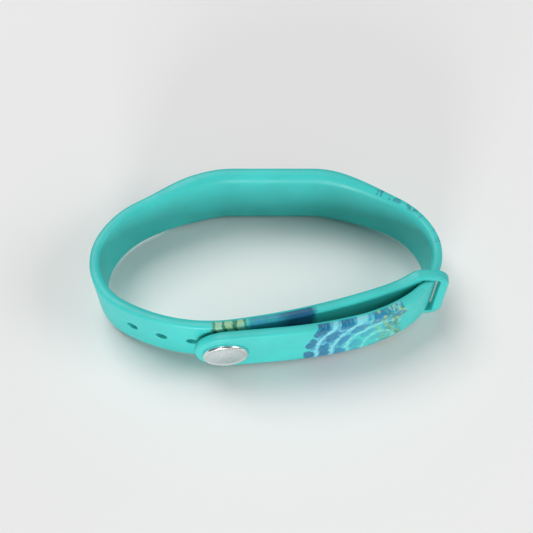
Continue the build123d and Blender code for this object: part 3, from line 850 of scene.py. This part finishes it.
def front_rings():
    """The upper housing, from the parting line over its edge and domed face down to the lens's seat."""
    seat = inset(LENS, -LENS_GAP)
    seat_under = LENS_THICK + SEAT_SINK
    face = [
        (CAPSULE[0] + (seat[0] - CAPSULE[0]) * t, CAPSULE[1] + (seat[1] - CAPSULE[1]) * t)
        for t in (0.35, 0.6, 0.85)
    ]
    return [
        capsule_ring(inset(CAPSULE, SEAM_WALL), SPLIT + SEAM_GAP),
        capsule_ring(inset(CAPSULE, SEAM_BEVEL), SPLIT + SEAM_GAP),
        capsule_ring(CAPSULE, SPLIT + SEAM_BEVEL),
        *rounded_rings(CAPSULE, FRONT_ROUND, (0, 20, 40, 60, 80)),
        *capsule_rings(face),
        capsule_ring(seat, under=SEAT_BEVEL),
        capsule_ring(inset(seat, SEAT_DRAFT), under=seat_under),
        *capsule_rings(spread(inset(seat, SEAT_MARGIN), 4), under=seat_under),
    ]


def lens_rings():
    """The lens, from the middle of its back round its edge to the middle of its domed face."""
    return [
        *capsule_rings(spread(inset(LENS, LENS_BEVEL), 6)[::-1], under=LENS_THICK),
        capsule_ring(LENS, under=LENS_THICK - LENS_BEVEL),
        *rounded_rings(LENS, LENS_ROUND, (0, 25, 50, 75, 90)),
        *capsule_rings(spread(inset(LENS, LENS_MARGIN), 14)),
    ]


def build_capsule():
    made = []
    for name, rings, node, slot in (
        ("capsule_back", back_rings(), "lower_housing", "housing_black"),
        ("capsule_front", front_rings(), "upper_housing", "housing_black"),
        ("capsule_lens", lens_rings(), "lens", "lens_black"),
    ):
        piece = to_mesh(name, *skin_of(rings), smooth_angle=45)
        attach(piece, "capsule")
        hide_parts(node)
        made.append((piece, slot))
    return made


# ---- materials ----
class Surface:
    """A Principled material with short ways to add and join nodes. Texture scales are per metre."""

    def __init__(self, name, colour, roughness, metallic=0.0, **sockets):
        self.material = bpy.data.materials.new(name)
        self.material.use_nodes = True
        self.tree = self.material.node_tree
        self.shader = self.tree.nodes["Principled BSDF"]
        self.colour = colour
        self.shader.inputs["Base Color"].default_value = (*colour, 1)
        self.shader.inputs["Roughness"].default_value = roughness
        self.shader.inputs["Metallic"].default_value = metallic
        for socket, value in sockets.items():
            self.shader.inputs[socket.replace("_", " ")].default_value = value
        self.place = self.add("ShaderNodeTexCoord").outputs["Object"]

    def put(self, socket, value):
        """Links an output to a socket, or sets the socket to a number or colour."""
        if isinstance(value, bpy.types.NodeSocket):
            self.tree.links.new(value, socket)
        elif socket.type == "RGBA" and len(value) == 3:
            socket.default_value = (*value, 1)
        else:
            socket.default_value = value

    def add(self, kind, inputs=None, **settings):
        node = self.tree.nodes.new(kind)
        for key, value in settings.items():
            setattr(node, key, value)
        for key, value in (inputs or {}).items():
            self.put(node.inputs[key], value)
        return node

    def math(self, operation, *values):
        return self.add("ShaderNodeMath", dict(enumerate(values)), operation=operation).outputs[0]

    def plus(self, a, b):
        return self.math("ADD", a, b)

    def minus(self, a, b):
        return self.math("SUBTRACT", a, b)

    def times(self, a, b):
        return self.math("MULTIPLY", a, b)

    def noise(self, scale, detail=3.0, place=None, roughness=0.5):
        inputs = {"Vector": place or self.place, "Scale": scale, "Detail": detail, "Roughness": roughness}
        return self.add("ShaderNodeTexNoise", inputs).outputs["Fac"]

    def between(self, value, low, high, to_low=0.0, to_high=1.0):
        """A smooth step from to_low, at low, to to_high, at high."""
        inputs = {"Value": value, "From Min": low, "From Max": high, "To Min": to_low, "To Max": to_high}
        return self.add("ShaderNodeMapRange", inputs, interpolation_type="SMOOTHSTEP").outputs["Result"]

    def falling(self, value, low, high):
        """A smooth step down, from 1 at low to 0 at high."""
        return self.between(value, low, high, 1.0, 0.0)

    def mix(self, share, a, b):
        node = self.add("ShaderNodeMix", data_type="RGBA")
        for number, value in zip(MIX_COLOUR_SOCKETS, (share, a, b)):
            self.put(node.inputs[number], value)
        return node.outputs[2]

    def set(self, socket, value):
        self.put(self.shader.inputs[socket], value)

    def bump(self, height, strength, distance):
        inputs = {"Height": height, "Strength": strength, "Distance": distance}
        self.set("Normal", self.add("ShaderNodeBump", inputs).outputs["Normal"])

    def worn(self, drift, scale, rough_low, rough_high):
        """Slow drift in the tone, and a finer one in the roughness."""
        tone = self.between(self.noise(scale), 0.3, 0.7, 1 - drift, 1 + drift)
        scaled = self.add("ShaderNodeVectorMath", {0: self.colour, "Scale": tone}, operation="SCALE")
        self.set("Base Color", scaled.outputs[0])
        self.set("Roughness", self.between(self.noise(scale * 6), 0.25, 0.75, rough_low, rough_high))


class Print:
    """A generic print of waves, scales, specks and stripes, laid out by the strap attribute."""

    def __init__(self, surface):
        self.s = s = surface
        self.flat = s.add("ShaderNodeAttribute", attribute_name="strap").outputs["Vector"]
        split = s.add("ShaderNodeSeparateXYZ", {"Vector": self.flat})
        self.along, self.height, self.through = split.outputs
        self.coarse, self.medium, self.fine = (
            s.noise(scale, detail=4.0, place=self.flat, roughness=0.6) for scale in PRINT_NOISE
        )
        self.lay_rows()

    def sway(self, noise, size):
        """A noise as a drift to both sides of 0."""
        return self.s.times(self.s.minus(noise, 0.5), size)

    def stretch(self, limits, soft, value):
        """1 between two limits and 0 outside them."""
        rise = self.s.between(value, limits[0] - soft, limits[0] + soft)
        return self.s.times(rise, self.s.falling(value, limits[1] - soft, limits[1] + soft))

    def lay_rows(self):
        """Rows of scales round a centre, and the line between the rows."""
        s = self.s
        x = s.minus(self.along, WAVE_CENTRE[0])
        z = s.times(s.minus(self.height, WAVE_CENTRE[1]), WAVE_SQUASH)
        round_away = s.math("SQRT", s.plus(s.times(x, x), s.times(z, z)))
        self.away = s.plus(round_away, self.sway(self.coarse, WAVE_WANDER))
        self.rows = s.math("DIVIDE", self.away, WAVE_STEP)
        row = s.math("FLOOR", self.rows)
        across = s.minus(s.math("FRACT", self.rows), 0.5)
        turn = s.plus(s.math("ARCTAN2", z, x), self.sway(self.medium, 0.12))
        run = s.times(turn, s.times(s.plus(row, 0.5), WAVE_STEP))
        scale_number = s.plus(s.math("DIVIDE", run, SCALE_PITCH), s.times(row, ROW_SHIFT))
        beside = s.minus(s.math("FRACT", scale_number), 0.5)
        oval = s.plus(
            s.times(s.times(across, across), SCALE_OVAL[0]),
            s.times(s.times(beside, beside), SCALE_OVAL[1]),
        )
        self.scales = s.falling(s.plus(oval, self.sway(self.fine, 0.45)), 0.85, 1.05)
        off_middle = s.math("ABSOLUTE", s.plus(across, self.sway(self.medium, 0.3)))
        self.line = s.between(off_middle, 0.36, 0.44)

    def wave_colour(self):
        s = self.s
        ground = s.mix(s.between(self.medium, 0.38, 0.62), INK_SKY, INK_BLUE)
        ground = s.mix(s.falling(self.away, 4.0, 11.0), ground, TEAL)
        ground = s.mix(s.times(self.line, 0.8), ground, INK_PALE)
        dark = s.mix(s.between(self.away, 6.0, 14.0), INK_BLUE, INK_NAVY)
        dark = s.mix(s.between(self.fine, 0.40, 0.62), dark, INK_BLUE)
        strength = s.between(self.away, 3.0, 9.0, 0.35, 1.0)
        return self.specked(s.mix(s.times(self.scales, strength), ground, dark))

    def specked(self, colour):
        """Moss and yellow specks over the waves' end towards the keeper loop."""
        s = self.s
        inputs = {"Vector": self.flat, "Scale": 0.95, "Randomness": 1.0}
        cell = s.add("ShaderNodeTexVoronoi", inputs).outputs["Distance"]
        spots = s.falling(s.plus(cell, s.times(self.fine, 0.5)), 0.54, 0.68)
        slanted = s.plus(self.along, s.times(self.height, 0.35))
        yellow = s.times(spots, s.between(slanted, *SPECKS_START))
        moss = s.times(s.between(self.medium, 0.47, 0.56), s.between(self.along, *MOSS_START))
        return s.mix(yellow, s.mix(s.times(moss, 0.85), colour, INK_MOSS), INK_YELLOW)

    def stripe_colour(self):
        s = self.s
        slant = s.plus(s.times(self.height, 0.3), s.times(self.medium, 1.6))
        stripe = s.math("SINE", s.times(s.plus(self.along, slant), STRIPE_TURN))
        pale = s.mix(s.between(self.coarse, 0.4, 0.6), INK_YELLOW, INK_MINT)
        return s.mix(s.between(stripe, 0.35, 0.6), pale, INK_MOSS)

    def blue_colour(self):
        s = self.s
        blue = s.mix(s.between(self.medium, 0.40, 0.64), INK_TEAL, INK_BLUE)
        drifting = s.plus(self.along, s.times(self.coarse, 4.0))
        return s.mix(s.between(drifting, *BLUE_TO_NAVY), blue, INK_NAVY)

    def colour(self):
        s = self.s
        ink = s.mix(self.stretch(PRINT_STRIPES, 0.3, self.along), self.wave_colour(), self.stripe_colour())
        ink = s.mix(s.between(self.along, PRINT_BLUE[0] - 0.6, PRINT_BLUE[0]), ink, self.blue_colour())
        return s.mix(self.stretch(PRINT_BACK, 0.5, self.along), ink, INK_NAVY)

    def mask(self):
        """How much ink there is: on the outer side only, ragged at its ends and a little worn."""
        s = self.s
        frayed = s.plus(self.along, self.sway(self.coarse, 9.0))
        waves = s.times(s.falling(self.rows, *ROWS_END), s.falling(frayed, *WAVES_END))
        solid = s.math("MAXIMUM", self.scales, s.falling(self.rows, *ROWS_SOLID))
        waves = s.times(s.times(waves, solid), s.between(self.along, *WAVES_FOOT))
        flecks = s.times(self.stretch(PRINT_BACK, 1.0, self.along), s.between(self.medium, 0.52, 0.60))
        ragged = s.plus(self.along, self.sway(self.medium, 2.4))
        inked = s.math("MAXIMUM", waves, s.times(flecks, 0.6))
        inked = s.math("MAXIMUM", inked, self.stretch(PRINT_STRIPES, 0.5, ragged))
        inked = s.math("MAXIMUM", inked, self.stretch(PRINT_BLUE, 0.6, ragged))
        inked = s.times(inked, s.between(self.through, *PRINT_DEPTH))
        return s.times(inked, s.between(self.fine, 0.30, 0.42, 0.72, 0.95))


def silicone():
    """Moulded teal silicone: a fine matt grain, a little dust and skin oil, and the print."""
    s = Surface(
        "silicone", TEAL, 0.45,
        Subsurface_Weight=0.06, Subsurface_Scale=0.0012, Specular_IOR_Level=0.42,
    )
    s.shader.inputs["Subsurface Radius"].default_value = (0.35, 1.0, 0.9)
    darker, lighter = (tuple(tone * channel for channel in TEAL) for tone in (0.93, 1.05))
    clouds = s.between(s.noise(90.0, detail=4.0), 0.3, 0.7)
    dust = s.between(s.noise(5200.0, detail=2.0), 0.66, 0.74)
    teal = s.mix(s.times(dust, 0.10), s.mix(clouds, darker, lighter), DUST)
    pattern = Print(s)
    inked = pattern.mask()
    s.set("Base Color", s.mix(inked, teal, pattern.colour()))
    smears = s.between(s.noise(240.0), 0.3, 0.7, 0.40, 0.52)
    s.set("Roughness", s.minus(smears, s.times(inked, 0.10)))
    grain = s.plus(s.noise(9000.0, detail=2.0), s.times(s.noise(700.0, detail=2.0), 0.5))
    s.bump(grain, strength=0.12, distance=0.00006)
    return s.material


def stud_metal():
    """Fine-brushed steel."""
    s = Surface("stud_metal", (0.83, 0.83, 0.84), 0.22, metallic=1.0)
    s.worn(drift=0.03, scale=500.0, rough_low=0.16, rough_high=0.30)
    s.bump(s.noise(16000.0, detail=2.0), strength=0.06, distance=0.00002)
    return s.material


def housing_black():
    """Moulded black plastic with a matt grain."""
    s = Surface("housing_black", (0.018, 0.018, 0.021), 0.4, Specular_IOR_Level=0.5)
    s.worn(drift=0.12, scale=300.0, rough_low=0.42, rough_high=0.55)
    s.bump(s.noise(6000.0, detail=2.0), strength=0.10, distance=0.00004)
    return s.material


def lens_black():
    """Hard-coated lens: black, glossy, with faint wiping marks."""
    s = Surface("lens_black", (0.006, 0.006, 0.008), 0.06, Coat_Weight=0.6, Coat_Roughness=0.03)
    s.worn(drift=0.3, scale=250.0, rough_low=0.05, rough_high=0.12)
    s.bump(s.noise(120.0, detail=2.0), strength=0.02, distance=0.0002)
    return s.material


def board_green():
    """Green solder mask over fine tracks."""
    s = Surface("board_green", MASK_GREEN, 0.35)
    inputs = {
        "Vector": s.place, "Scale": 900.0, "Mortar Size": 0.02,
        "Color1": MASK_GREEN, "Color2": (0.03, 0.20, 0.09), "Mortar": (0.06, 0.30, 0.12),
    }
    tracks = s.add("ShaderNodeTexBrick", inputs)
    s.set("Base Color", tracks.outputs["Color"])
    s.bump(tracks.outputs["Fac"], strength=0.2, distance=0.00003)
    return s.material


def plain(name, colour, rough_low, rough_high, metallic):
    s = Surface(name, colour, rough_low, metallic)
    s.worn(0.08, PLAIN_SCALE, rough_low, rough_high)
    s.bump(s.noise(12 * PLAIN_SCALE, detail=2.0), strength=0.08, distance=0.00003)
    return s.material


def slot_materials():
    materials = {slot: plain(slot, *look) for slot, look in PLAIN_SLOTS.items()}
    for look in (silicone, stud_metal, housing_black, lens_black, board_green):
        materials[look.__name__] = look()
    return materials


def dress(piece, material):
    piece.data.materials.clear()
    piece.data.materials.append(material)


def dress_all(new_pieces):
    """Dresses the new pieces by the slots they come with, and the CAD's own nodes by the record."""
    materials = slot_materials()
    for piece, slot in new_pieces:
        dress(piece, materials[slot])
    for part in frame["record"]["subparts"]:
        dress(frame["nodes"][part["node"]], materials[part["material_slot"]])


# ---- floor, light and camera ----
def build_floor():
    bpy.ops.mesh.primitive_plane_add(size=FLOOR_SIZE, location=(0, 0, cad_low.z))
    floor = bpy.context.object
    floor.name = "floor"
    s = Surface("floor", FLOOR_COLOUR, 0.7)
    s.worn(drift=0.01, scale=3.0, rough_low=0.65, rough_high=0.8)
    dress(floor, s.material)


def area_light(name, place, target, size, power):
    data = bpy.data.lights.new(name, "AREA")
    data.size, data.energy = size, power
    light = bpy.data.objects.new(name, data)
    light.location = place
    light.rotation_euler = (Vector(target) - Vector(place)).to_track_quat("-Z", "Y").to_euler()
    bpy.context.scene.collection.objects.link(light)


def build_world():
    world = bpy.data.worlds.new("studio")
    world.use_nodes = True
    background = world.node_tree.nodes["Background"]
    background.inputs["Color"].default_value = (*WORLD_COLOUR, 1)
    background.inputs["Strength"].default_value = WORLD_STRENGTH
    bpy.context.scene.world = world
    bpy.context.scene.view_settings.view_transform = "Standard"


def build_camera():
    """The photo's view: from the clasp's side, and well above."""
    data = bpy.data.cameras.new("camera")
    data.lens, data.sensor_width = CAMERA_LENS, CAMERA_SENSOR
    data.clip_start, data.clip_end = CAMERA_CLIP
    camera = bpy.data.objects.new("camera", data)
    tilt = math.radians(CAMERA_ELEVATION)
    back = Vector((0, -math.cos(tilt), math.sin(tilt)))
    camera.location = (Vector(CAMERA_TARGET) + back * CAMERA_DISTANCE) * MM
    camera.rotation_euler = (math.pi / 2 - tilt, 0, 0)
    bpy.context.scene.collection.objects.link(camera)
    bpy.context.scene.camera = camera


dress_all([build_main(), build_stud_strap(), *build_stud(), *build_capsule()])
build_floor()
for light_name, light_setting in LIGHTS.items():
    area_light(light_name, *light_setting)
build_world()
build_camera()
